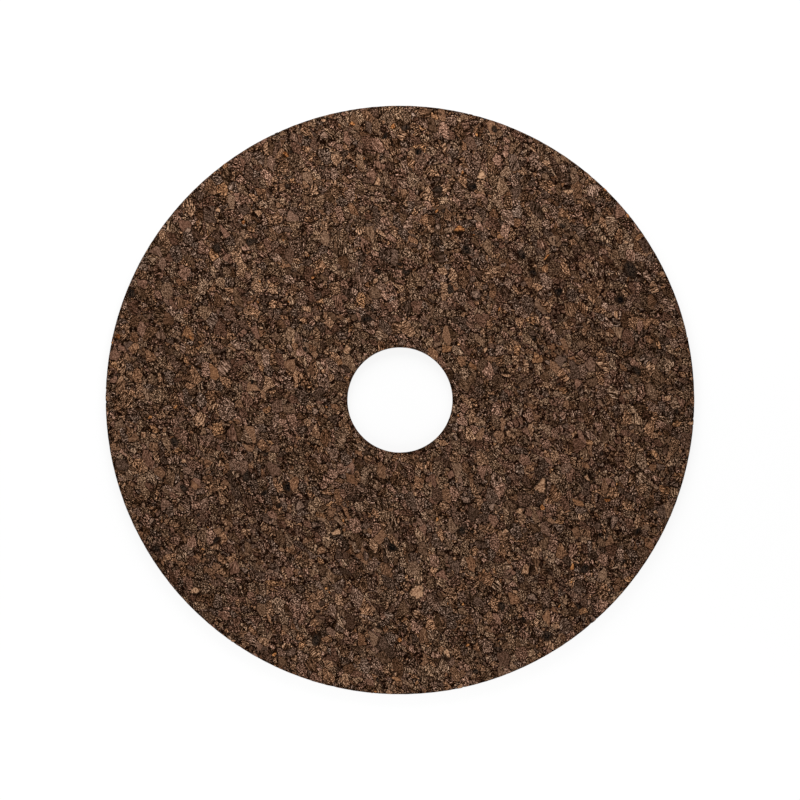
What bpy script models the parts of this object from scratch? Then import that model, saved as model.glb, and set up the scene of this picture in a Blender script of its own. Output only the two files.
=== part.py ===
"""Round cork placemat: a flat ring cut from one sheet of dark, granulated cork.

Units are metres and +Z is up. The origin is the centre of the underside, so the mat lies on z = 0.
"""

import math

import bmesh
import bpy

# Driving dimensions
MAT_DIAMETER = 0.280
HOLE_DIAMETER = 0.050
THICKNESS = 0.005
EDGE_RADIUS = 0.0005

# How finely the round shapes are drawn
ROUND_STEPS = 192
EDGE_SEGMENTS = 2
SHARP_ANGLE = math.radians(20)

# Finish: dark brown cork, sanded and left without lacquer
CORK_COLOUR = (0.0965, 0.0525, 0.0322, 1.0)
CORK_ROUGHNESS = 0.9
CORK_METALLIC = 0.0


def clear_scene():
    """Removes every object that the scene holds."""
    for obj in list(bpy.data.objects):
        bpy.data.objects.remove(obj, do_unlink=True)


def new_collection(name):
    """Returns a new collection in the scene for the placemat's pieces."""
    collection = bpy.data.collections.new(name)
    bpy.context.scene.collection.children.link(collection)
    return collection


def cork_material():
    """Returns the plain cork finish."""
    material = bpy.data.materials.new("dark_cork")
    material.use_nodes = True
    shader = material.node_tree.nodes["Principled BSDF"]
    shader.inputs["Base Color"].default_value = CORK_COLOUR
    shader.inputs["Roughness"].default_value = CORK_ROUGHNESS
    shader.inputs["Metallic"].default_value = CORK_METALLIC
    return material


def section_mesh(name):
    """Returns the ring's cross-section at +X, a closed loop that runs down its outer side."""
    outer = MAT_DIAMETER / 2
    inner = HOLE_DIAMETER / 2
    corners = [
        (outer, 0, THICKNESS),
        (outer, 0, 0),
        (inner, 0, 0),
        (inner, 0, THICKNESS),
    ]
    section = bmesh.new()
    points = [section.verts.new(corner) for corner in corners]
    for start, end in zip(points, points[1:] + points[:1]):
        section.edges.new((start, end))
    mesh = bpy.data.meshes.new(name)
    section.to_mesh(mesh)
    section.free()
    return mesh


def round_corners(ring):
    """Rounds the four corners of the cross-section, which the cutter leaves a little soft."""
    bevel = ring.modifiers.new("arris", "BEVEL")
    bevel.affect = "VERTICES"
    bevel.limit_method = "NONE"
    bevel.width = EDGE_RADIUS
    bevel.segments = EDGE_SEGMENTS


def turn_section(ring):
    """Turns the cross-section once round the Z axis."""
    screw = ring.modifiers.new("turn", "SCREW")
    screw.axis = "Z"
    screw.angle = math.tau
    screw.steps = ROUND_STEPS
    screw.render_steps = ROUND_STEPS
    screw.use_normal_calculate = True


def apply_turning(ring):
    """Makes the turned shape the ring's own mesh, shaded smooth round the rim and the hole."""
    graph = bpy.context.evaluated_depsgraph_get()
    turned = bpy.data.meshes.new_from_object(ring.evaluated_get(graph))
    section = ring.data
    ring.modifiers.clear()
    ring.data = turned
    bpy.data.meshes.remove(section)
    turned.name = ring.name
    turned.shade_smooth()
    turned.set_sharp_from_angle(angle=SHARP_ANGLE)


def build_cork_ring(collection):
    """Builds the placemat's one piece, the cork ring."""
    ring = bpy.data.objects.new("cork_ring", section_mesh("section"))
    collection.objects.link(ring)
    ring.data.materials.append(cork_material())
    round_corners(ring)
    turn_section(ring)
    apply_turning(ring)


def main():
    """Builds the placemat."""
    clear_scene()
    build_cork_ring(new_collection("cork_placemat"))


main()
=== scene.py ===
"""Dress for the round cork placemat: a flat ring cut from one sheet of dark, granulated cork.

The sheet is modelled as what it is: granules of smoked cork, pressed together, sawn flat on both faces and
cut through at the rim and at the hole. One closed body carries the pressed granules, with their real relief,
and with painted shade in the open gaps between them, its pits, the beds round the bits and its cut walls.
The bits that stand out by their colour lie in it as solids of their own.
"""

import logging
import math
import random
from collections.abc import Iterator
from dataclasses import dataclass
from enum import Enum, IntEnum, StrEnum, auto
from itertools import chain
from typing import Any

import bmesh
import bpy
from bmesh.types import BMEdge, BMesh, BMVert
from bpy.types import Material, Node, NodeSocket, NodeTree, Object
from mathutils import Matrix, Vector
from mathutils.kdtree import KDTree


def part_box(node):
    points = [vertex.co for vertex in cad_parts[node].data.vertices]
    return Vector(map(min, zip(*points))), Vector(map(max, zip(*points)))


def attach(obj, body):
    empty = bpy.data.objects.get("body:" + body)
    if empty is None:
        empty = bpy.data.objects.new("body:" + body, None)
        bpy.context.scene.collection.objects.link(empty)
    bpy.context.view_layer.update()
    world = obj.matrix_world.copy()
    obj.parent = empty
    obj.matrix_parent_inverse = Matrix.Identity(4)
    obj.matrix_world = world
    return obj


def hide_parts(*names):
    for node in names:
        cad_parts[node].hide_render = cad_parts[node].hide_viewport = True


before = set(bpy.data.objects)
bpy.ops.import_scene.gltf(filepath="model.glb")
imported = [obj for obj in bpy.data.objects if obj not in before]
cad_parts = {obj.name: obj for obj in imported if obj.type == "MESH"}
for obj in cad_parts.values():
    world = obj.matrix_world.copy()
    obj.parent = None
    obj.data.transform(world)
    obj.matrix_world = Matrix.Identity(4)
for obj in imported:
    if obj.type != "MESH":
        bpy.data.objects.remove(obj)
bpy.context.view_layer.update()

LOG = logging.getLogger("cork_placemat")
MM = 0.001
UP = Vector((0, 0, 1))
NOISE_MEAN = 0.5
NODE = "cork_ring"
BODY = "root"

# Kinds of node that are used often.
MATH = "ShaderNodeMath"
VECTOR_MATH = "ShaderNodeVectorMath"
MAP_RANGE = "ShaderNodeMapRange"
NOISE = "ShaderNodeTexNoise"
ROTATE = "ShaderNodeVectorRotate"
MIX = "ShaderNodeMix"

# What may feed an input: a socket, or a node whose first output does.
Feed = Node | NodeSocket


class Mark(StrEnum):
    """Attributes of a mesh that its relief and its finish read."""

    SUNK = "sunk"
    # How much painted shade a corner of the body gets: in pits, in beds round the bits, on walls and
    # arrises.
    SHADE = "shade"
    # Nearness of a bit's corner to its outline, where its border is painted as shade.
    EDGE = "edge"
    OWN = "granule"


class Mix(IntEnum):
    """Inputs of a Mix node by their place, because their names repeat."""

    FACTOR = 0
    VECTOR_A = 4
    VECTOR_B = 5
    COLOUR_A = 6
    COLOUR_B = 7


class Mixed(IntEnum):
    """Results of a Mix node by their place."""

    VECTOR = 1
    COLOUR = 2


# Place of the plain number among the results of a Random Value node.
RANDOM_NUMBER = 1


def linear(hex_colour: str) -> tuple[float, float, float, float]:
    """Turns an sRGB hex colour into a linear one.

    Args:
        hex_colour: six hex digits after a hash sign.

    Returns:
        Linear red, green, blue and an alpha of 1.
    """
    parts = [int(hex_colour[i:i + 2], 16) / 255 for i in (1, 3, 5)]
    red, green, blue = (c / 12.92 if c <= 0.04045 else ((c + 0.055) / 1.055) ** 2.4 for c in parts)
    return red, green, blue, 1.0


def add_node(tree: NodeTree, kind: str, feeds: dict[int | str, Any] | None = None,
             stops: tuple[tuple[float, str], ...] = (), **settings: Any) -> Node:
    """Adds a node with its settings and links.

    Args:
        tree: node tree that gets the node.
        kind: the node's type name.
        feeds: for each input, its plain value or what feeds it.
        stops: positions and hex colours of a colour ramp.
        **settings: properties of the node.

    Returns:
        The new node.
    """
    node = tree.nodes.new(kind)
    for name, value in settings.items():
        setattr(node, name, value)
    for socket, feed in (feeds or {}).items():
        if isinstance(feed, Node):
            feed = feed.outputs[0]
        if isinstance(feed, NodeSocket):
            tree.links.new(feed, node.inputs[socket])
        else:
            node.inputs[socket].default_value = feed
    for index, (position, colour) in enumerate(stops):
        if index >= len(node.color_ramp.elements):
            node.color_ramp.elements.new(position)
        node.color_ramp.elements[index].position = position
        node.color_ramp.elements[index].color = linear(colour)
    return node


def new_material(name: str) -> tuple[Material, NodeTree]:
    """Makes an empty node material.

    Args:
        name: what the real material is.

    Returns:
        The material and its node tree.
    """
    material = bpy.data.materials.new(name)
    material.use_nodes = True
    material.node_tree.nodes.clear()
    return material, material.node_tree


def new_object(name: str, bm: BMesh) -> Object:
    """Turns a finished bmesh into an object at the origin and frees the bmesh.

    Args:
        name: name of the piece.
        bm: the finished shape.

    Returns:
        The new object, linked to the scene.
    """
    mesh = bpy.data.meshes.new(name)
    bm.to_mesh(mesh)
    bm.free()
    made = bpy.data.objects.new(name, mesh)
    bpy.context.scene.collection.objects.link(made)
    return made


@dataclass(frozen=True)
class CorkSheet:
    """Sizes of the cut ring in metres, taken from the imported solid, and the rounding of its cut edges."""

    radius: float
    hole_radius: float
    thickness: float
    arris: float = 0.5 * MM

    @classmethod
    def from_frame(cls) -> "CorkSheet":
        """Reads the ring's sizes off the CAD node.

        Returns:
            The sizes.
        """
        low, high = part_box(NODE)
        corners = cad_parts[NODE].data.vertices
        hole = min(math.hypot(v.co.x, v.co.y) for v in corners)
        return cls((high[0] - low[0]) / 2, hole, high[2] - low[2])


@dataclass(frozen=True)
class Grade:
    """One size of granule in the pressed stock.

    Attributes:
        size_mm: usual width of a granule.
        broken: share of them that broke up in the press and show as finer granules.
        lean: how their long way lies, as turns about X, Y and Z in radians.
    """

    size_mm: float
    broken: float
    lean: tuple[float, float, float]


@dataclass(frozen=True)
class CorkPattern:
    """Where the pressed granules of the sheet lie: the same nodes give it to the shape and to the finish.

    Attributes:
        grades: sizes of granule, the finest first.
        long: length, width and height of a granule as shares of its size.
        bend_mm: how far its border is bent about.
        bend_pitch_mm: from one such bend to the next.
        covered_mm: keeps the borders of finer granules off a whole one that covers them.
        gap_mm: how far cork stays back from a border, in a tight gap and in a wide one.
        ragged_mm: from one wide stretch of a gap to the next.
        ragged_span: values of the noise at which a gap is tight and wide.
        gap_edge_mm: where the soft edge of a gap starts and ends.
    """

    grades: tuple[Grade, ...] = (
        Grade(2.05, 0.0, (0.3, 0.4, 2.0)),
        Grade(3.65, 0.2, (0.3, 0.4, 0.6)),
        Grade(4.85, 0.6, (0.3, 0.4, 1.3)),
    )
    long: tuple[float, float, float] = (1.3, 0.82, 1.0)
    bend_mm: float = 0.95
    bend_pitch_mm: float = 1.7
    covered_mm: float = 9.0
    gap_mm: tuple[float, float] = (0.0, 0.2)
    ragged_mm: float = 1.3
    ragged_span: tuple[float, float] = (0.38, 0.64)
    gap_edge_mm: tuple[float, float] = (-0.05, 0.1)

    def lay(self, tree: NodeTree, grain: Feed) -> tuple[Feed, Feed]:
        """Adds the nodes that lay the granules: coarse cells, some of them broken up into fine ones.

        Args:
            tree: node tree of a material or of a shape.
            grain: place in millimetres.

        Returns:
            Three random numbers of each granule, and the way to its border in millimetres.
        """
        bend = add_node(tree, NOISE, {"Vector": grain, "Scale": 1 / self.bend_pitch_mm, "Detail": 1.0})
        bent = add_node(tree, VECTOR_MATH, {
            0: bend.outputs["Color"], 1: (self.bend_mm,) * 3, 2: grain,
        }, operation="MULTIPLY_ADD")
        own = border = None
        for grade in self.grades:
            lean = add_node(tree, ROTATE, {
                "Vector": bent, "Rotation": grade.lean,
            }, rotation_type="EULER_XYZ")
            drawn = add_node(tree, VECTOR_MATH, {
                0: lean, 1: [1 / (grade.size_mm * share) for share in self.long],
            }, operation="MULTIPLY")
            place = {"Vector": drawn, "Scale": 1.0}
            cells = add_node(tree, "ShaderNodeTexVoronoi", place).outputs["Color"]
            edges = add_node(tree, "ShaderNodeTexVoronoi", place, feature="DISTANCE_TO_EDGE")
            way = add_node(tree, MATH, {0: edges, 1: grade.size_mm}, operation="MULTIPLY")
            if own is None:
                own, border = cells, way
                continue
            chance = add_node(tree, "ShaderNodeTexWhiteNoise", {"Vector": cells}).outputs["Value"]
            whole = add_node(tree, MATH, {0: chance, 1: grade.broken}, operation="GREATER_THAN")
            own = add_node(tree, MIX, {
                Mix.FACTOR: whole, Mix.VECTOR_A: own, Mix.VECTOR_B: cells,
            }, data_type="VECTOR").outputs[Mixed.VECTOR]
            away = add_node(tree, MATH, {0: whole, 1: self.covered_mm, 2: border}, operation="MULTIPLY_ADD")
            border = add_node(tree, MATH, {0: way, 1: away}, operation="MINIMUM")
        return own, border

    def solid(self, tree: NodeTree, grain: Feed, border: Feed) -> Feed:
        """Adds the nodes that mark ragged gaps along the borders, where the finish paints shade.

        Args:
            tree: the material's nodes.
            grain: place in millimetres.
            border: the way to the granule's border in millimetres.

        Returns:
            1 on cork and 0 in an open gap.
        """
        ragged = add_node(tree, NOISE, {"Vector": grain, "Scale": 1 / self.ragged_mm, "Detail": 1.0})
        width = add_node(tree, MAP_RANGE, {
            "Value": ragged,
            "From Min": self.ragged_span[0], "From Max": self.ragged_span[1],
            "To Min": self.gap_mm[0], "To Max": self.gap_mm[1],
        })
        inside = add_node(tree, MATH, {0: border, 1: width}, operation="SUBTRACT")
        return add_node(tree, MAP_RANGE, {
            "Value": inside,
            "From Min": self.gap_edge_mm[0], "From Max": self.gap_edge_mm[1],
        })


@dataclass(frozen=True, kw_only=True)
class SawnCork:
    """What every sawn cork has in common: streaks along its grain, flecks of open cells, and no gloss.

    Attributes:
        tone: place of the darkest granules on the colour ramp.
        own: how much lighter than those the lightest granules are.
        streak_mm: length and width of a streak.
        streak: how marked the streaks are.
        streak_fray: how much of a streak is finer strands.
        streak_sway: how far a streak swerves.
        fleck_mm: width of a fleck.
        fleck: how marked the flecks are.
        bump: how much of the flecks' relief shows.
        bump_mm: depth of that relief.
    """

    name: str
    tone: float
    own: float
    streak_mm: tuple[float, float]
    streak: float
    streak_fray: float = 0.6
    streak_sway: float = 0.6
    # Cork cells are about 0.04 mm wide, too fine to show, so flecks are drawn about ten times as coarse.
    fleck_mm: float
    fleck: float
    bump: float = 0.6
    bump_mm: float = 0.2
    roughness: float = 0.9
    specular: float = 0.02

    def grain(self, tree: NodeTree) -> Feed:
        """Adds the nodes that give a point's place in millimetres."""
        where = add_node(tree, "ShaderNodeTexCoord").outputs["Object"]
        return add_node(tree, VECTOR_MATH, {0: where, "Scale": 1 / MM}, operation="SCALE")

    def grit(self, tree: NodeTree, grain: Feed, own: Feed) -> tuple[Feed, Feed]:
        """Adds the nodes of the streaks, which run another way in each granule, and of the flecks.

        Args:
            tree: the material's nodes.
            grain: place in millimetres.
            own: three random numbers of each granule.

        Returns:
            The change of tone by streaks and flecks, which is 0 on average, and the flecks alone.
        """
        turn = add_node(tree, VECTOR_MATH, {0: own, "Scale": math.tau}, operation="SCALE")
        along = add_node(tree, ROTATE, {"Vector": grain, "Rotation": turn}, rotation_type="EULER_XYZ")
        length, width = self.streak_mm
        drawn = add_node(tree, "ShaderNodeMapping", {
            "Vector": along, "Scale": (1 / length, 1 / width, 1 / width),
        })
        streak = add_node(tree, NOISE, {
            "Vector": drawn, "Scale": 1.0, "Detail": 1.0,
            "Roughness": self.streak_fray, "Distortion": self.streak_sway,
        })
        fleck = add_node(tree, NOISE, {"Vector": grain, "Scale": 1 / self.fleck_mm, "Detail": 0.0})
        flecked = add_node(tree, MATH, {
            0: fleck, 1: self.fleck, 2: -NOISE_MEAN * (self.fleck + self.streak),
        }, operation="MULTIPLY_ADD")
        grit = add_node(tree, MATH, {0: streak, 1: self.streak, 2: flecked}, operation="MULTIPLY_ADD")
        return grit, fleck

    def face(self, tree: NodeTree, colour: Feed, fleck: Feed) -> None:
        """Adds the matt surface, rough with flecks, as what the material shows.

        Args:
            tree: the material's nodes.
            colour: colour of each point.
            fleck: height of the flecks.
        """
        bump = add_node(tree, "ShaderNodeBump", {
            "Strength": self.bump, "Distance": self.bump_mm * MM, "Height": fleck,
        })
        surface = add_node(tree, "ShaderNodeBsdfPrincipled", {
            "Base Color": colour, "Normal": bump,
            "Roughness": self.roughness, "Specular IOR Level": self.specular,
        })
        add_node(tree, "ShaderNodeOutputMaterial", {"Surface": surface})


@dataclass(frozen=True, kw_only=True)
class AgglomerateFinish(SawnCork):
    """Smoked cork agglomerate, sawn.

    The eye gets a busy, matt mosaic of brown granules two to six millimetres across. Each has its own tone
    and tint and is streaked along its own grain. Some are calm and a little lighter, others all streaks.
    Ragged gaps stand open between them, painted black as their shade; slow lighter and darker clouds lie
    over all.

    Attributes:
        cloud_mm: from one cloud to the next.
        cloud: how marked the clouds are.
        cloud_fray: how ragged the clouds are.
        calm_span: random numbers of the busiest and of the calmest granules.
        grit_span: how much of the streaks and flecks those two sorts show.
        calm_lift: how much lighter the calmest granules are.
        ramp: colours from the darkest tone to the lightest.
        tints: tints of the granules, by a number of each.
        tint_lean: how far the lighter granules lean to the later tints.
        gap_shade: painted shade, the colour of the open gaps, and of pits and beds at full shade.
        sunk_show: how much of the cork's colour shows through the painted shade in a pit or a bed.
    """

    pattern: CorkPattern
    name: str = "smoked cork agglomerate"
    tone: float = 0.03
    own: float = 0.34
    streak_mm: tuple[float, float] = (3.6, 0.4)
    streak: float = 2.4
    fleck_mm: float = 0.48
    fleck: float = 1.1
    cloud_mm: float = 26.0
    cloud: float = 0.14
    cloud_fray: float = 0.6
    calm_span: tuple[float, float] = (0.3, 1.0)
    grit_span: tuple[float, float] = (1.4, 0.4)
    calm_lift: float = 0.12
    ramp: tuple[tuple[float, str], ...] = (
        (0.0, "#120701"), (0.25, "#3e2a1c"), (0.5, "#755746"),
        (0.7, "#957560"), (0.88, "#b8947c"), (1.0, "#ddb79d"),
    )
    tints: tuple[tuple[float, str], ...] = (
        (0.0, "#e6edf5"), (0.2, "#f2f0f2"), (0.32, "#fbf0ef"), (0.45, "#fdf3e3"),
        (0.57, "#f0f0e9"), (0.68, "#f4f2e6"), (0.8, "#fdedd8"), (0.92, "#ffebcd"),
    )
    tint_lean: float = 0.4
    # Painted shade: the near black of the open gaps, and of pits and beds, standing for the shade in them.
    gap_shade: str = "#110501"
    sunk_show: float = 0.1

    def tones(self, tree: NodeTree, grain: Feed, grit: Feed, own: Node) -> Feed:
        """Adds the nodes that make one granule lighter, calmer or busier than the next.

        Args:
            tree: the material's nodes.
            grain: place in millimetres.
            grit: change of tone by streaks and flecks.
            own: node with three random numbers of each granule.

        Returns:
            The tone, as a place on the colour ramp.
        """
        light, _, calm = own.outputs
        cloud = add_node(tree, NOISE, {
            "Vector": grain, "Scale": 1 / self.cloud_mm, "Detail": 4.0, "Roughness": self.cloud_fray,
        })
        busy = add_node(tree, MAP_RANGE, {
            "Value": calm,
            "From Min": self.calm_span[0], "From Max": self.calm_span[1],
            "To Min": self.grit_span[0], "To Max": self.grit_span[1],
        })
        tone = add_node(tree, MATH, {0: grit, 1: busy, 2: self.tone}, operation="MULTIPLY_ADD")
        for source, share in ((light, self.own), (cloud, self.cloud), (calm, self.calm_lift)):
            tone = add_node(tree, MATH, {0: source, 1: share, 2: tone}, operation="MULTIPLY_ADD")
        return tone

    def colours(self, tree: NodeTree, tone: Feed, own: Node, solid: Feed) -> Feed:
        """Adds the nodes that colour the granules and paint shade in the gaps, pits, beds, walls and
        arrises.

        Args:
            tree: the material's nodes.
            tone: place on the colour ramp.
            own: node with three random numbers of each granule.
            solid: 1 on cork and 0 in an open gap.

        Returns:
            The colour of each point.
        """
        light, sort, _ = own.outputs
        brown = add_node(tree, "ShaderNodeValToRGB", {0: tone}, stops=self.ramp)
        hue = add_node(tree, MATH, {0: light, 1: self.tint_lean, 2: sort}, operation="MULTIPLY_ADD")
        hue = add_node(tree, MATH, {0: hue, 1: 1 / (1 + self.tint_lean)}, operation="MULTIPLY")
        tint = add_node(tree, "ShaderNodeValToRGB", {0: hue}, stops=self.tints)
        tint.color_ramp.interpolation = "CONSTANT"
        cork = add_node(tree, MIX, {
            Mix.FACTOR: 1.0, Mix.COLOUR_A: brown, Mix.COLOUR_B: tint,
        }, data_type="RGBA", blend_type="MULTIPLY")
        # Painted shade: the open gaps and the marked pits, beds, walls and arrises are darkened to the gap
        # shade.
        shade = add_node(tree, "ShaderNodeAttribute", attribute_name=Mark.SHADE)
        shown = add_node(tree, MAP_RANGE, {
            "Value": shade.outputs["Fac"], "To Min": 1.0, "To Max": self.sunk_show,
        })
        shown = add_node(tree, MATH, {0: solid, 1: shown}, operation="MULTIPLY")
        return add_node(tree, MIX, {
            Mix.FACTOR: shown, Mix.COLOUR_A: linear(self.gap_shade), Mix.COLOUR_B: cork.outputs[Mixed.COLOUR],
        }, data_type="RGBA").outputs[Mixed.COLOUR]

    def build(self) -> Material:
        """Builds the node material.

        Returns:
            The material.
        """
        material, tree = new_material(self.name)
        grain = self.grain(tree)
        numbers, border = self.pattern.lay(tree, grain)
        own = add_node(tree, "ShaderNodeSeparateXYZ", {0: numbers})
        grit, fleck = self.grit(tree, grain, numbers)
        tone = self.tones(tree, grain, grit, own)
        solid = self.pattern.solid(tree, grain, border)
        self.face(tree, self.colours(tree, tone, own, solid), fleck)
        return material


@dataclass(frozen=True, kw_only=True)
class GranuleFinish(SawnCork):
    """One sort of sawn granule: streaked along its grain, in its own tone, with painted shade at its ragged
    border.

    Attributes:
        stops: tones at which it has its dark, middle and light colour.
        border_from: where the border starts: 0 is the granule's middle, 1 its edge, rags on top.
        border_soft: how softly the border starts.
        border_show: how much of the granule's colour shows at the edge.
        ragged: how ragged the border is.
        ragged_mm: width of its rags.
    """

    dark: str
    middle: str
    light: str
    stops: tuple[float, float, float] = (0.2, 0.5, 0.8)
    # Painted shade at the border, the dark of the gap round the bit; the bark's own brown rim replaces it.
    border: str = "#140a03"
    border_from: float = 1.2
    border_soft: float = 0.22
    border_show: float = 0.1
    ragged: float = 0.9
    ragged_mm: float = 0.9
    tone: float = 0.35
    own: float = 0.3
    streak_mm: tuple[float, float] = (3.2, 0.5)
    streak: float = 2.0
    fleck_mm: float = 0.4
    fleck: float = 1.0

    def border_shade_and_rim(self, tree: NodeTree, grain: Feed, colour: Feed) -> Feed:
        """Adds the nodes that paint shade on the granule towards its ragged border, a brown rim on bark
        chips.

        Args:
            tree: the material's nodes.
            grain: place in millimetres.
            colour: colour of the granule.

        Returns:
            The colour of each point.
        """
        ragged = add_node(tree, NOISE, {"Vector": grain, "Scale": 1 / self.ragged_mm, "Detail": 1.0})
        edge = add_node(tree, "ShaderNodeAttribute", attribute_name=Mark.EDGE)
        edge_reach = add_node(tree, MATH, {
            0: ragged, 1: self.ragged, 2: edge.outputs["Fac"],
        }, operation="MULTIPLY_ADD")
        shown = add_node(tree, MAP_RANGE, {
            "Value": edge_reach,
            "From Min": self.border_from, "From Max": self.border_from + self.border_soft,
            "To Min": 1.0, "To Max": self.border_show,
        })
        return add_node(tree, MIX, {
            Mix.FACTOR: shown, Mix.COLOUR_A: linear(self.border), Mix.COLOUR_B: colour,
        }, data_type="RGBA").outputs[Mixed.COLOUR]

    def build(self) -> Material:
        """Builds the node material.

        Returns:
            The material.
        """
        material, tree = new_material(self.name)
        grain = self.grain(tree)
        own = add_node(tree, "ShaderNodeAttribute", attribute_name=Mark.OWN)
        grit, fleck = self.grit(tree, grain, own.outputs["Vector"])
        tone = add_node(tree, MATH, {
            0: own.outputs["Alpha"], 1: self.own, 2: self.tone,
        }, operation="MULTIPLY_ADD")
        tone = add_node(tree, MATH, {0: tone, 1: grit}, operation="ADD")
        ramp = tuple(zip(self.stops, (self.dark, self.middle, self.light)))
        colour = add_node(tree, "ShaderNodeValToRGB", {0: tone}, stops=ramp)
        self.face(tree, self.border_shade_and_rim(tree, grain, colour), fleck)
        return material


class GranuleKind(Enum):
    """Sorts of bit that stand out from the sheet, each named as its piece is."""

    BARK = "bark_chips"
    TAN = "tan_granules"
    GREY = "grey_granules"
    RUSSET = "russet_granules"


GRANULE_FINISHES = {
    # Charred bark: the black spots of the sheet, with a few brown streaks and a brown, rubbed border.
    GranuleKind.BARK: GranuleFinish(
        name="charred bark", dark="#030202", middle="#100d0b", light="#43342a",
        border="#2a1d14", border_from=1.15, streak=2.4,
    ),
    # Pale cork, hardly smoked: the light, sandy bits that catch the eye first.
    GranuleKind.TAN: GranuleFinish(name="pale cork", dark="#4a3120", middle="#92694e", light="#c29a79"),
    # Ashen cork, weathered: bits that are a little lighter, greyer and cooler than those around them.
    GranuleKind.GREY: GranuleFinish(name="ashen cork", dark="#402e25", middle="#775c4d", light="#a1836f"),
    # Russet cork: small sparks of orange brown.
    GranuleKind.RUSSET: GranuleFinish(name="russet cork", dark="#43210e", middle="#935a33", light="#c48a58"),
}


@dataclass(frozen=True)
class GranuleMix:
    """How many granules of one sort a face has, how big they are, and where the plain ones lie.

    Attributes:
        per_face: how many are thrown on each face.
        smallest: least radius.
        largest: greatest radius.
        plain: places and widths of the plainest ones on the upper face, in millimetres.
    """

    per_face: int
    smallest: float
    largest: float
    plain: tuple[tuple[float, float, float], ...]


# The places and widths of the plain bits were read off.
MIXES = {
    GranuleKind.BARK: GranuleMix(80, 1.0 * MM, 2.3 * MM, (
        (-87, 72, 4.3), (-71, 75, 3.8), (-16, 38, 4.8), (18, 100, 3.3), (34, 101, 3.8), (31, 71, 3.8),
        (57, 69, 3.8), (63, 60, 3.3), (75, 51, 3.8), (24, 53, 3.3), (3, 60, 3.3), (109, 62, 6.2),
        (104, 48, 3.8), (112, 14, 4.3), (3, 129, 3.3), (-7, 126, 3.3), (-128, 51, 3.8), (-64, -25, 3.8),
        (-73, -36, 3.8), (-54, -41, 3.3), (-107, -20, 3.8), (-103, -42, 3.3), (-87, -67, 4.3),
        (-116, -71, 3.8), (-40, -114, 3.8), (-4, -70, 3.8), (88, -80, 3.8), (86, -98, 3.8), (58, -105, 3.8),
        (70, -112, 3.8), (29, -62, 3.8), (48, -98, 3.8), (113, -63, 3.8),
    )),
    GranuleKind.TAN: GranuleMix(70, 1.3 * MM, 3.0 * MM, (
        (-68, 89, 4.8), (-24, 24, 4.3), (-114, 11, 4.3), (39, 107, 4.8), (80, 100, 4.8), (-97, -91, 5.2),
        (9, -91, 6.2), (61, -81, 5.2), (67, -41, 6.2), (89, -36, 4.8), (114, -57, 4.8), (-37, -71, 4.3),
        (-30, -63, 4.3), (-85, -30, 4.3), (22, -122, 4.8),
    )),
    GranuleKind.GREY: GranuleMix(50, 1.3 * MM, 3.0 * MM, (
        (-65, 74, 5.2), (36, 49, 4.8), (-40, -60, 4.3), (-48, -50, 4.3), (32, -48, 4.8), (63, -94, 4.3),
        (101, -58, 6.2),
    )),
    GranuleKind.RUSSET: GranuleMix(60, 0.8 * MM, 1.7 * MM, (
        (-17, 44, 2.9), (-23, 131, 2.4), (-3, 130, 2.4), (-55, 116, 2.9), (-41, 58, 2.4), (-134, 30, 2.4),
        (28, 80, 4.8), (70, 67, 3.3), (-119, -8, 2.4), (67, -51, 2.9), (99, -47, 2.9), (82, -79, 2.9),
        (-60, -120, 2.4), (0, -114, 2.4),
    )),
}


class CutSurface(Enum):
    """Surfaces at which granules were cut through."""

    UPPER = auto()
    UNDER = auto()
    WALL = auto()


@dataclass(frozen=True)
class Throw:
    """A bit to be laid: its sort and radius, a point on a cut surface and the way out of it there."""

    kind: GranuleKind
    radius: float
    point: Vector
    out: Vector


@dataclass(frozen=True)
class Granule:
    """One bit of cork or bark in the sheet."""

    centre: Vector
    radius: float
    kind: GranuleKind


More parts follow.
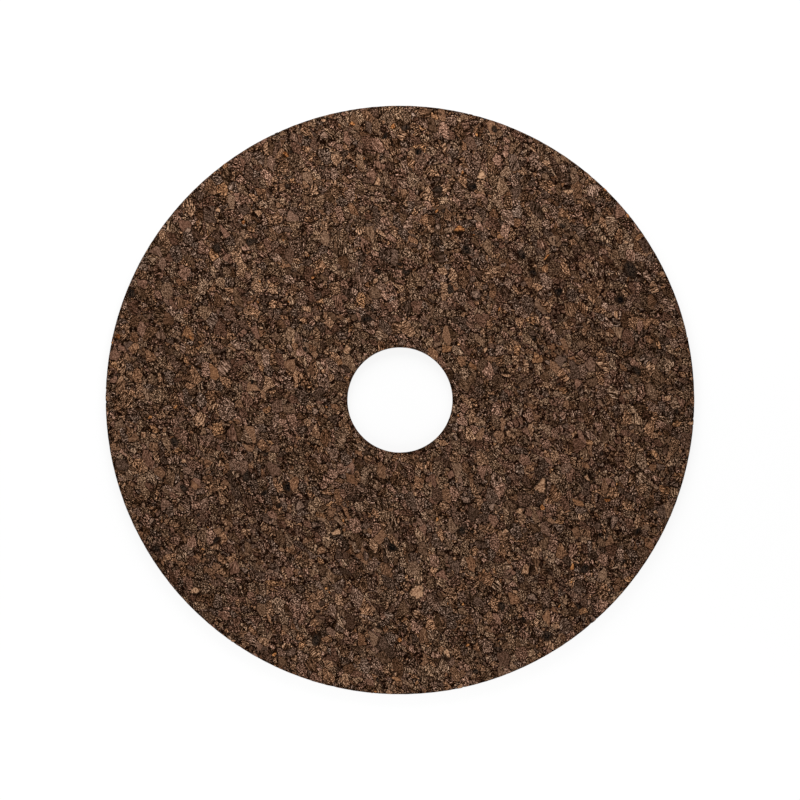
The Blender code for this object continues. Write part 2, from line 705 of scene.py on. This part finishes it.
@dataclass(frozen=True)
class GranuleBed:
    """Lays out all the bits that stand out, so that none runs into another.

    Attributes:
        sink: least and greatest depth of a bit's middle under the surface, as shares of its radius.
        room: least way between two middles as a share of both radii.
        spread: a broken bit's radius for each half of the width that shows.
        skew: above 1, so that small bits are commoner than large ones.
    """

    sheet: CorkSheet
    sink: tuple[float, float] = (0.1, 0.4)
    room: float = 1.0
    spread: float = 1.65
    skew: float = 1.6
    seed: int = 11

    def plain_bits(self) -> Iterator[Throw]:
        """Gives the plain bits of the upper face."""
        for kind, mix in MIXES.items():
            for x, y, width in mix.plain:
                point = Vector((x * MM, y * MM, self.sheet.thickness))
                yield Throw(kind, width * MM / 2 * self.spread, point, UP)

    def spot(self, cut: CutSurface, rng: random.Random) -> tuple[Vector, Vector]:
        """Draws a spot on one of the cut surfaces.

        Args:
            cut: the surface.
            rng: the layout's random source.

        Returns:
            The spot and the outward direction there.
        """
        sheet = self.sheet
        angle = rng.uniform(0, math.tau)
        way = Vector((math.cos(angle), math.sin(angle), 0))
        reach = math.sqrt(rng.uniform(sheet.hole_radius ** 2, sheet.radius ** 2))
        if cut is CutSurface.UPPER:
            return way * reach + UP * sheet.thickness, UP
        if cut is CutSurface.UNDER:
            return way * reach, -UP
        if rng.random() < sheet.radius / (sheet.radius + sheet.hole_radius):
            return way * sheet.radius + UP * rng.uniform(0, sheet.thickness), way
        return way * sheet.hole_radius + UP * rng.uniform(0, sheet.thickness), -way

    def other_bits(self, rng: random.Random) -> Iterator[Throw]:
        """Draws the other bits, on all the cut surfaces.

        Args:
            rng: the layout's random source.

        Yields:
            The bits, sort by sort.
        """
        wall_share = 2 * self.sheet.thickness / (self.sheet.radius - self.sheet.hole_radius)
        for kind, mix in MIXES.items():
            counts = {
                CutSurface.UPPER: mix.per_face - len(mix.plain),
                CutSurface.UNDER: mix.per_face,
                CutSurface.WALL: round(mix.per_face * wall_share),
            }
            for cut, count in counts.items():
                for _ in range(count):
                    radius = mix.smallest + (mix.largest - mix.smallest) * rng.random() ** self.skew
                    yield Throw(kind, radius, *self.spot(cut, rng))

    def lay(self) -> list[Granule]:
        """Keeps each thrown bit that has room.

        Returns:
            The bits that were laid.
        """
        rng = random.Random(self.seed)
        laid: list[Granule] = []
        for bit in chain(self.plain_bits(), self.other_bits(rng)):
            centre = bit.point - bit.out * bit.radius * rng.uniform(*self.sink)
            if all((g.centre - centre).length > self.room * (g.radius + bit.radius) for g in laid):
                laid.append(Granule(centre, bit.radius, bit.kind))
        return laid


@dataclass(frozen=True)
class StandOutGranules:
    """The bits of one sort: broken, set in the sheet and sawn off flush with it.

    Attributes:
        corners: how many corners a bit is broken from.
        length: of a bit, as a share of its radius.
        slimness: least and greatest width and height, as shares of its radius.
        knobs: how near and how far its corners stand, as shares of its radius.
        sink: how deep under the cut surface a bit may be sawn off, in metres.
    """

    sheet: CorkSheet
    kind: GranuleKind
    granules: list[Granule]
    corners: int = 11
    length: float = 1.05
    slimness: tuple[float, float] = (0.6, 0.95)
    knobs: tuple[float, float] = (0.85, 1.2)
    sink: float = 0.08 * MM

    def cut_planes(self, centre: Vector) -> tuple[tuple[Vector, Vector], ...]:
        """Gives the planes that saw off a bit.

        Args:
            centre: the bit's middle.

        Returns:
            A point and an outward direction for the two faces, the rim and the bore.
        """
        way = Vector((centre.x, centre.y, 0)).normalized()
        return (
            (UP * self.sheet.thickness, UP),
            (Vector(), -UP),
            (way * self.sheet.radius, way),
            (way * self.sheet.hole_radius, -way),
        )

    def rough_bit(self, granule: Granule, rng: random.Random) -> BMesh:
        """Breaks one bit: the hull of a few random corners.

        Args:
            granule: place and size.
            rng: the piece's random source.

        Returns:
            The bit as a closed solid, before it is sawn.
        """
        bm = bmesh.new()
        stretch = Vector((self.length, rng.uniform(*self.slimness), rng.uniform(*self.slimness)))
        turn = Vector(rng.gauss(0, 1) for _ in range(3)).to_track_quat("X", "Z")
        shape = Matrix.LocRotScale(None, turn, stretch)
        for _ in range(self.corners):
            corner = Vector(rng.gauss(0, 1) for _ in range(3)).normalized() * rng.uniform(*self.knobs)
            bm.verts.new(granule.centre + shape @ corner * granule.radius)
        hull = bmesh.ops.convex_hull(bm, input=bm.verts)
        spare = set(hull["geom_interior"] + hull["geom_unused"])
        bmesh.ops.delete(bm, geom=list(spare), context="VERTS")
        return bm

    def saw(self, bm: BMesh, centre: Vector, rng: random.Random) -> None:
        """Saws a bit off flush with the sheet, and marks its edges and the middles of its sawn faces.

        Args:
            bm: the bit.
            centre: its middle.
            rng: the piece's random source.
        """
        edge = bm.verts.layers.float.new(Mark.EDGE)
        for corner in bm.verts:
            corner[edge] = 1.0
        for point, out in self.cut_planes(centre):
            level = point - out * rng.uniform(0.0, self.sink)
            if all((v.co - level).dot(out) <= 0 for v in bm.verts):
                continue
            cut = bmesh.ops.bisect_plane(bm, geom=bm.verts[:] + bm.edges[:] + bm.faces[:], plane_co=level,
                                         plane_no=out, clear_outer=True)["geom_cut"]
            rim = [e for e in cut if isinstance(e, BMEdge)]
            for corner in (v for v in cut if isinstance(v, BMVert)):
                corner[edge] = 1.0
            sawn = bmesh.ops.edgeloop_fill(bm, edges=rim)["faces"]
            for middle in bmesh.ops.poke(bm, faces=sawn)["verts"]:
                middle[edge] = 0.0

    def build(self) -> Object:
        """Builds the piece and dresses it.

        Returns:
            The object of all bits of this sort.
        """
        rng = random.Random(self.kind.value)
        whole = bmesh.new()
        own: list[float] = []
        for granule in self.granules:
            bit = self.rough_bit(granule, rng)
            self.saw(bit, granule.centre, rng)
            mesh = bpy.data.meshes.new("bit")
            bit.to_mesh(mesh)
            bit.free()
            whole.from_mesh(mesh)
            own += [rng.random() for _ in range(4)] * len(mesh.vertices)
            bpy.data.meshes.remove(mesh)
        bmesh.ops.recalc_face_normals(whole, faces=whole.faces)
        made = new_object(self.kind.value, whole)
        mark = made.data.attributes.new(Mark.OWN, "FLOAT_COLOR", "POINT")
        mark.data.foreach_set("color", own)
        made.data.materials.append(GRANULE_FINISHES[self.kind].build())
        return made


@dataclass(frozen=True)
class FaceMap:
    """Lays the sheet's skin out flat, for a picture of its colours: two discs, and rows of wall beside them.

    The upper face, the one that is looked at, gets the most room. Sizes are shares of the map.

    Attributes:
        upper: width of the upper face, in the near corner.
        under: width of the underside, in the far corner.
        walls_from: where the rows of the rim and the bore start.
        row: length of such a row.
        finer: how many times larger than the upper face the walls are.
        gap: clear room around each piece of the map.
        steep: a face that points less up or down is wall.
    """

    sheet: CorkSheet
    name: str = "OFBake"
    upper: float = 0.735
    under: float = 0.415
    walls_from: float = 0.762
    row: float = 0.225
    finer: float = 1.4
    gap: float = 0.005
    steep: float = 0.7

    def disc(self, place: Vector, up: bool) -> tuple[float, float]:
        """Finds the spot of a point of one of the flat faces.

        Args:
            place: the point.
            up: whether it lies on the upper face.

        Returns:
            Its place on the map.
        """
        share = self.upper if up else self.under
        middle = share / 2 + self.gap if up else 1 - share / 2 - self.gap
        scale = share / (2 * self.sheet.radius)
        return middle + (place.x if up else -place.x) * scale, middle + place.y * scale

    def lay(self, bm: BMesh) -> None:
        """Gives every face its place on the map.

        Args:
            bm: the ring.
        """
        spots = bm.loops.layers.uv.new(self.name)
        sheet = self.sheet
        scale = self.finer * self.upper / (2 * sheet.radius)
        rim_rows = math.ceil(math.tau * sheet.radius * scale / self.row)
        for face in bm.faces:
            middle = face.calc_center_median()
            about = math.atan2(middle.y, middle.x) % math.tau
            bore = middle.xy.length < (sheet.radius + sheet.hole_radius) / 2
            reach = (sheet.hole_radius if bore else sheet.radius) * scale
            row = int(about * reach / self.row)
            level = (row + bore * rim_rows) * (sheet.thickness * scale + self.gap) + self.gap
            for loop in face.loops:
                place = loop.vert.co
                if abs(face.normal.z) > self.steep:
                    loop[spots].uv = self.disc(place, face.normal.z > 0)
                    continue
                turn = about + math.remainder(math.atan2(place.y, place.x) - about, math.tau)
                loop[spots].uv = (self.walls_from + turn * reach - row * self.row, level + place.z * scale)


@dataclass(frozen=True)
class CorkBody:
    """The sheet itself: a closed ring with the relief of its pressed granules, its pits and its beds.

    Attributes:
        crumb: usual side of a face of the mesh, in metres.
        slide: how far a corner of the mesh slides about, in crumbs.
        widest: width in crumbs past which faces are split as the ring widens.
        weld: corners this near each other are one, in metres.
        flat: a corner that points less up or down is on a wall or an arris.
        mound: how deep a granule's border is sunk, in metres.
        mound_mm: how far from its border a granule stands at full height.
        rough: depth of the crumbs, in metres.
        wall_share: how much of the relief the walls show.
        pit_share: share of the corners where a crumb broke out.
        pit_mm: least and greatest depth of such a pit.
        bed_mm: depth of the bed under a bit.
        bed_share: width of the bed as a share of the bit's.
        edge_shade: how much painted shade darkens the walls and the arrises.
    """

    sheet: CorkSheet
    pattern: CorkPattern
    granules: list[Granule]
    crumb: float = 1.15 * MM
    slide: float = 0.36
    widest: float = 1.4
    weld: float = 0.001 * MM
    flat: float = 0.99
    mound: float = 0.12 * MM
    mound_mm: float = 1.3
    rough: float = 0.06 * MM
    wall_share: float = 0.3
    pit_share: float = 0.006
    pit_mm: tuple[float, float] = (0.25, 0.7)
    bed_mm: float = 0.45
    bed_share: float = 0.65
    edge_shade: float = 0.3
    seed: int = 5

    def stations(self) -> list[tuple[float, float]]:
        """Walks over the upper half of the ring's section, from the middle of the bore to that of the rim.

        Returns:
            Radius and height of each loop of corners after the first.
        """
        sheet = self.sheet
        inner, outer = sheet.hole_radius, sheet.radius
        high, edge = sheet.thickness, sheet.arris
        chamfer = edge * (1 - math.sqrt(0.5))
        across = round((outer - inner - 2 * edge) / self.crumb)
        shoulder = (high / 2 + high - edge) / 2
        walk = [(inner, shoulder), (inner, high - edge), (inner + chamfer, high - chamfer)]
        walk += [(inner + edge + (outer - inner - 2 * edge) * i / across, high) for i in range(across + 1)]
        walk += [(outer - chamfer, high - chamfer), (outer, high - edge), (outer, shoulder)]
        return walk + [(outer, high / 2)]

    def skin(self) -> BMesh:
        """Draws a loop of edges over the section, doubles its corners as it widens, and mirrors the half.

        Returns:
            The smooth closed ring.
        """
        bm = bmesh.new()
        reach = self.sheet.hole_radius
        height = self.sheet.thickness / 2
        around = round(math.tau * reach / self.crumb)
        start = Matrix.Translation((0, 0, height))
        bmesh.ops.create_circle(bm, segments=around, radius=reach, matrix=start)
        loop = bm.edges[:]
        for further, level in self.stations():
            if math.tau * further / around > self.widest * self.crumb:
                split = bmesh.ops.subdivide_edges(bm, edges=loop, cuts=1)["geom_split"]
                loop = [e for e in split if isinstance(e, BMEdge)]
                around *= 2
            drawn = bmesh.ops.extrude_edge_only(bm, edges=loop)["geom"]
            corners = {v for v in drawn if isinstance(v, BMVert)}
            loop = [e for e in drawn if isinstance(e, BMEdge) and corners.issuperset(e.verts)]
            bmesh.ops.scale(bm, vec=(further / reach, further / reach, 1.0), verts=list(corners))
            bmesh.ops.translate(bm, vec=(0, 0, level - height), verts=list(corners))
            reach, height = further, level
        bmesh.ops.mirror(bm, geom=bm.verts[:] + bm.edges[:] + bm.faces[:], axis="Z",
                         matrix=Matrix.Translation((0, 0, -self.sheet.thickness / 2)))
        bmesh.ops.remove_doubles(bm, verts=bm.verts, dist=self.weld)
        bmesh.ops.recalc_face_normals(bm, faces=bm.faces)
        return bm

    def scatter(self, bm: BMesh) -> None:
        """Slides the corners about, marks how far pits and beds sink, in millimetres, and paints shade there
        and on walls.

        Args:
            bm: the smooth ring.
        """
        rng = random.Random(self.seed)
        beds = KDTree(len(self.granules))
        for index, granule in enumerate(self.granules):
            beds.insert(granule.centre, index)
        beds.balance()
        reach = max((g.radius for g in self.granules), default=0.0)
        bm.normal_update()
        sunk = bm.verts.layers.float.new(Mark.SUNK)
        shade = bm.verts.layers.float.new(Mark.SHADE)
        for corner in bm.verts:
            shift = Vector(rng.uniform(-self.slide, self.slide) * self.crumb for _ in range(3))
            if abs(corner.normal.z) > self.flat:
                corner.co += Vector((shift.x, shift.y, 0))
            else:
                corner.co.rotate(Matrix.Rotation(shift.x / corner.co.xy.length, 3, "Z"))
                # Painted shade on the walls and the arrises.
                corner[shade] = self.edge_shade
            if rng.random() < self.pit_share:
                corner[sunk] = rng.uniform(*self.pit_mm)
                # Painted shade in the pit.
                corner[shade] = 1.0
            for _, index, distance in beds.find_range(corner.co, reach):
                if distance < self.bed_share * self.granules[index].radius:
                    corner[sunk] = self.bed_mm
                    # Painted shade in the bed round a bit.
                    corner[shade] = 1.0

    def relief(self) -> NodeTree:
        """Makes the nodes that sink the skin: borders of granules, crumbs, pits and beds.

        Returns:
            The node tree of the shape.
        """
        tree = bpy.data.node_groups.new("granule_relief", "GeometryNodeTree")
        tree.interface.new_socket("Geometry", in_out="INPUT", socket_type="NodeSocketGeometry")
        tree.interface.new_socket("Geometry", in_out="OUTPUT", socket_type="NodeSocketGeometry")
        skin = add_node(tree, "NodeGroupInput")
        where = add_node(tree, "GeometryNodeInputPosition")
        out = add_node(tree, "GeometryNodeInputNormal")
        grain = add_node(tree, VECTOR_MATH, {0: where, "Scale": 1 / MM}, operation="SCALE")
        _, border = self.pattern.lay(tree, grain)
        mound = add_node(tree, MAP_RANGE, {
            "Value": border, "From Max": self.mound_mm, "To Min": -self.mound, "To Max": 0.0,
        }, interpolation_type="SMOOTHSTEP")
        chance = add_node(tree, "FunctionNodeRandomValue", {"Seed": self.seed}, data_type="FLOAT")
        crumb = add_node(tree, MATH, {
            0: chance.outputs[RANDOM_NUMBER], 1: -self.rough, 2: mound,
        }, operation="MULTIPLY_ADD")
        lie = add_node(tree, "ShaderNodeSeparateXYZ", {0: out})
        lie = add_node(tree, MATH, {0: lie.outputs["Z"]}, operation="ABSOLUTE")
        share = add_node(tree, MAP_RANGE, {"Value": lie, "To Min": self.wall_share, "To Max": 1.0})
        crumb = add_node(tree, MATH, {0: crumb, 1: share}, operation="MULTIPLY")
        sunk = add_node(tree, "GeometryNodeInputNamedAttribute", {"Name": Mark.SUNK}, data_type="FLOAT")
        depth = add_node(tree, MATH, {0: sunk, 1: -MM, 2: crumb}, operation="MULTIPLY_ADD")
        offset = add_node(tree, VECTOR_MATH, {0: out, "Scale": depth}, operation="SCALE")
        moved = add_node(tree, "GeometryNodeSetPosition", {"Geometry": skin, "Offset": offset})
        add_node(tree, "NodeGroupOutput", {0: moved})
        return tree

    def build(self) -> Object:
        """Builds the piece, presses its relief into its mesh and dresses it.

        Returns:
            The body of the sheet.
        """
        bm = self.skin()
        self.scatter(bm)
        FaceMap(self.sheet).lay(bm)
        made = new_object("cork_body", bm)
        made.modifiers.new("granule_relief", "NODES").node_group = self.relief()
        pressed = made.evaluated_get(bpy.context.evaluated_depsgraph_get())
        smooth = made.data
        made.data = bpy.data.meshes.new_from_object(pressed)
        made.modifiers.clear()
        bpy.data.meshes.remove(smooth)
        made.data.name = made.name
        made.data.materials.append(AgglomerateFinish(pattern=self.pattern).build())
        return made


@dataclass(frozen=True)
class Lamp:
    """A soft square lamp: its name, its place in metres and its power in watts."""

    name: str
    place: tuple[float, float, float]
    power: float


@dataclass(frozen=True)
class Studio:
    """Pale floor, a soft lamp at the top and a weaker one at the foot of the picture, and a camera overhead.

    Lengths are in metres, but the camera's lens and sensor are in millimetres, as usual.

    Attributes:
        field_width: width of the picture at the upper face.
        floor_drop: how far the floor lies under the mat.
        floor_colour: what the floor throws back on the mat.
        floor_shade: how much of the light on the floor shows, and with it the mat's shadow.
        floor_reach: how far out the lamps' light falls off.
        fill: strength of the even light from all sides.
    """

    sheet: CorkSheet
    field_width: float = 0.3802
    lens: float = 100.0
    sensor: float = 36.0
    floor_side: float = 12.0
    floor_drop: float = 0.05 * MM
    floor_colour: str = "#c0c0be"
    floor_shade: float = 0.15
    floor_reach: float = 0.6
    fill: float = 0.35
    lamp_side: float = 0.3
    lamps: tuple[Lamp, ...] = (
        Lamp("top_lamp", (-0.03, 0.33, 0.22), 1.45),
        Lamp("foot_lamp", (-0.01, -0.33, 0.22), 0.66),
    )

    def seen(self, tree: NodeTree) -> Feed:
        """Adds nodes that give 1 to rays that look at a surface and 0 to those that light it.

        Args:
            tree: node tree of the floor or the room.

        Returns:
            That number.
        """
        path = add_node(tree, "ShaderNodeLightPath").outputs
        looks = path["Is Camera Ray"]
        for ray in ("Is Glossy Ray", "Is Transmission Ray"):
            looks = add_node(tree, MATH, {0: looks, 1: path[ray]}, operation="MAXIMUM")
        return looks

    def board(self) -> Material:
        """Builds the floor's material: a matt pale board, lifted to white for the rays that look at it.

        The lift grows as the lamps' light falls off, so the eye gets an even white with a faint shadow.

        Returns:
            The material.
        """
        material, tree = new_material("white board")
        seen = self.seen(tree)
        where = add_node(tree, "ShaderNodeTexCoord").outputs["Object"]
        away = add_node(tree, VECTOR_MATH, {0: where}, operation="LENGTH").outputs["Value"]
        lift = add_node(tree, MAP_RANGE, {
            "Value": away, "From Max": self.floor_reach,
            "To Min": 1 - self.floor_shade, "To Max": 1 - self.floor_shade * self.fill,
        })
        glow = add_node(tree, MATH, {0: seen, 1: lift}, operation="MULTIPLY")
        colour = add_node(tree, MIX, {
            Mix.FACTOR: seen, Mix.COLOUR_A: linear(self.floor_colour),
            Mix.COLOUR_B: (self.floor_shade,) * 3 + (1,),
        }, data_type="RGBA")
        surface = add_node(tree, "ShaderNodeBsdfPrincipled", {
            "Base Color": colour.outputs[Mixed.COLOUR], "Roughness": 1.0, "Specular IOR Level": 0.0,
            "Emission Color": (1, 1, 1, 1), "Emission Strength": glow,
        })
        add_node(tree, "ShaderNodeOutputMaterial", {"Surface": surface})
        return material

    def floor(self) -> None:
        """Lays the floor just under the mat."""
        bm = bmesh.new()
        bmesh.ops.create_grid(bm, x_segments=1, y_segments=1, size=self.floor_side / 2,
                              matrix=Matrix.Translation((0, 0, -self.floor_drop)))
        laid = new_object("floor", bm)
        laid.data.materials.append(self.board())

    def room(self) -> None:
        """Sets the room: an even fill for the object, plain white for the rays that look at it."""
        world = bpy.data.worlds.new("studio")
        world.use_nodes = True
        tree = world.node_tree
        tree.nodes.clear()
        level = add_node(tree, MAP_RANGE, {"Value": self.seen(tree), "To Min": self.fill, "To Max": 1.0})
        sky = add_node(tree, "ShaderNodeBackground", {"Color": (1, 1, 1, 1), "Strength": level})
        add_node(tree, "ShaderNodeOutputWorld", {"Surface": sky})
        bpy.context.scene.world = world

    def light(self) -> None:
        """Hangs the soft lamps and points them at the mat."""
        for lamp in self.lamps:
            glow = bpy.data.lights.new(lamp.name, "AREA")
            glow.size = self.lamp_side
            glow.energy = lamp.power
            hung = bpy.data.objects.new(lamp.name, glow)
            hung.location = lamp.place
            hung.rotation_euler = (-Vector(lamp.place)).to_track_quat("-Z", "Y").to_euler()
            hung.visible_camera = False
            bpy.context.scene.collection.objects.link(hung)

    def camera(self) -> None:
        """Sets the camera straight above the middle of the mat."""
        eye = bpy.data.cameras.new("camera")
        eye.lens = self.lens
        eye.sensor_width = self.sensor
        placed = bpy.data.objects.new("camera", eye)
        placed.location = (0, 0, self.sheet.thickness + self.field_width * self.lens / self.sensor)
        bpy.context.scene.collection.objects.link(placed)
        bpy.context.scene.camera = placed

    def build(self) -> None:
        """Sets up the whole studio."""
        self.floor()
        self.room()
        self.light()
        self.camera()
        bpy.context.scene.view_settings.view_transform = "Standard"


def main() -> None:
    """Builds the mat's pieces in order and logs their triangles, then sets up the studio."""
    logging.basicConfig(level=logging.INFO, format="%(name)s: %(message)s")
    sheet = CorkSheet.from_frame()
    granules = GranuleBed(sheet).lay()
    body = CorkBody(sheet, CorkPattern(), granules).build()
    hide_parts(NODE)
    pieces = [body]
    for kind in GranuleKind:
        pieces.append(StandOutGranules(sheet, kind, [g for g in granules if g.kind is kind]).build())
    for piece in pieces:
        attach(piece, BODY)
        piece.data.calc_loop_triangles()
        LOG.info("%s: %d triangles", piece.name, len(piece.data.loop_triangles))
    Studio(sheet).build()


if __name__ == "__main__":
    main()
